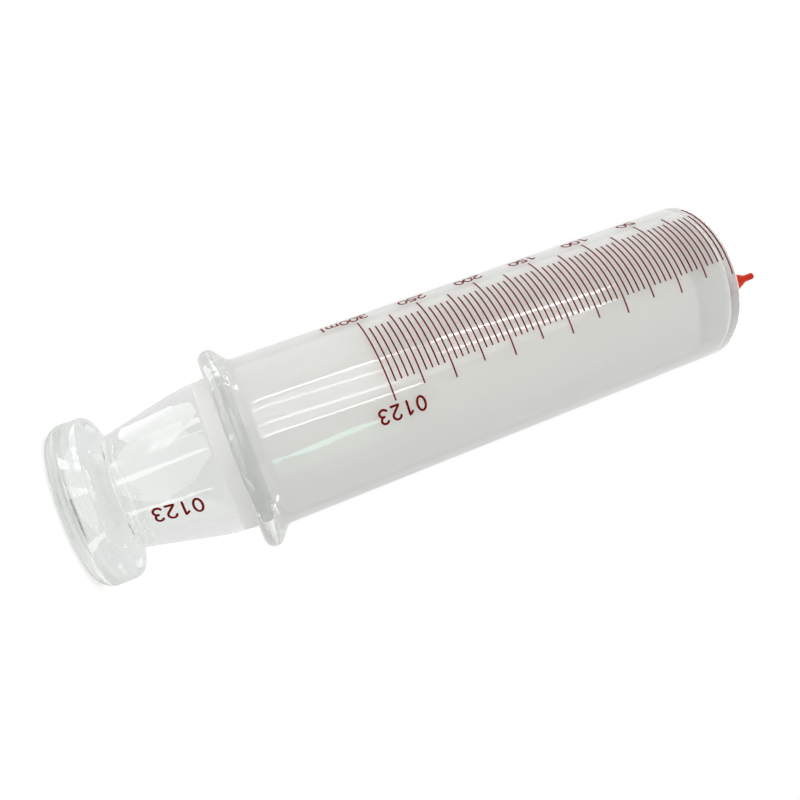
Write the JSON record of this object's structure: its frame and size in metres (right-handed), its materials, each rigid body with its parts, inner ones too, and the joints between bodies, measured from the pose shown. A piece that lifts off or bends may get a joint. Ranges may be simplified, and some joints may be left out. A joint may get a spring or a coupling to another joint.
{
  "type": "glass syringe",
  "caption": "Large all-glass laboratory syringe: a graduated clear barrel with a finger flange and an off-centre nozzle, a ground hollow plunger with a round knob, and a soft tip cap.",
  "frame": {"origin": "centre of the flat end of the plunger's knob, which the syringe stands on", "axes": "+Z along the common axis of barrel and plunger towards the nozzle; the middle of the graduation faces -Y, and the nozzle lies off the axis towards +X"},
  "size_m": [0.0712, 0.0712, 0.2662],
  "materials": {
    "barrel_glass": "clear blown borosilicate glass, bore ground",
    "plunger_glass": "ground along the cylinder, clear at the neck and knob",
    "cap_rubber": "smooth moulded soft rubber",
    "enamel": "fired dark red enamel"
  },
  "bodies": {
    "barrel_body": {"barrel": "barrel_glass", "graduation": "enamel"},
    "plunger_body": {"plunger": "plunger_glass"},
    "cap_body": {"tip_cap": "cap_rubber"}
  },
  "joints": [
    {"name": "plunger_slide", "type": "slide", "parent": "barrel_body", "child": "plunger_body", "axis": [0, 0, -1], "range_m": [-0.01, 0.1207]},
    {"name": "cap_pull", "type": "slide", "parent": "barrel_body", "child": "cap_body", "axis": [0, 0, 1], "range_m": [0, 0.02]}
  ]
}
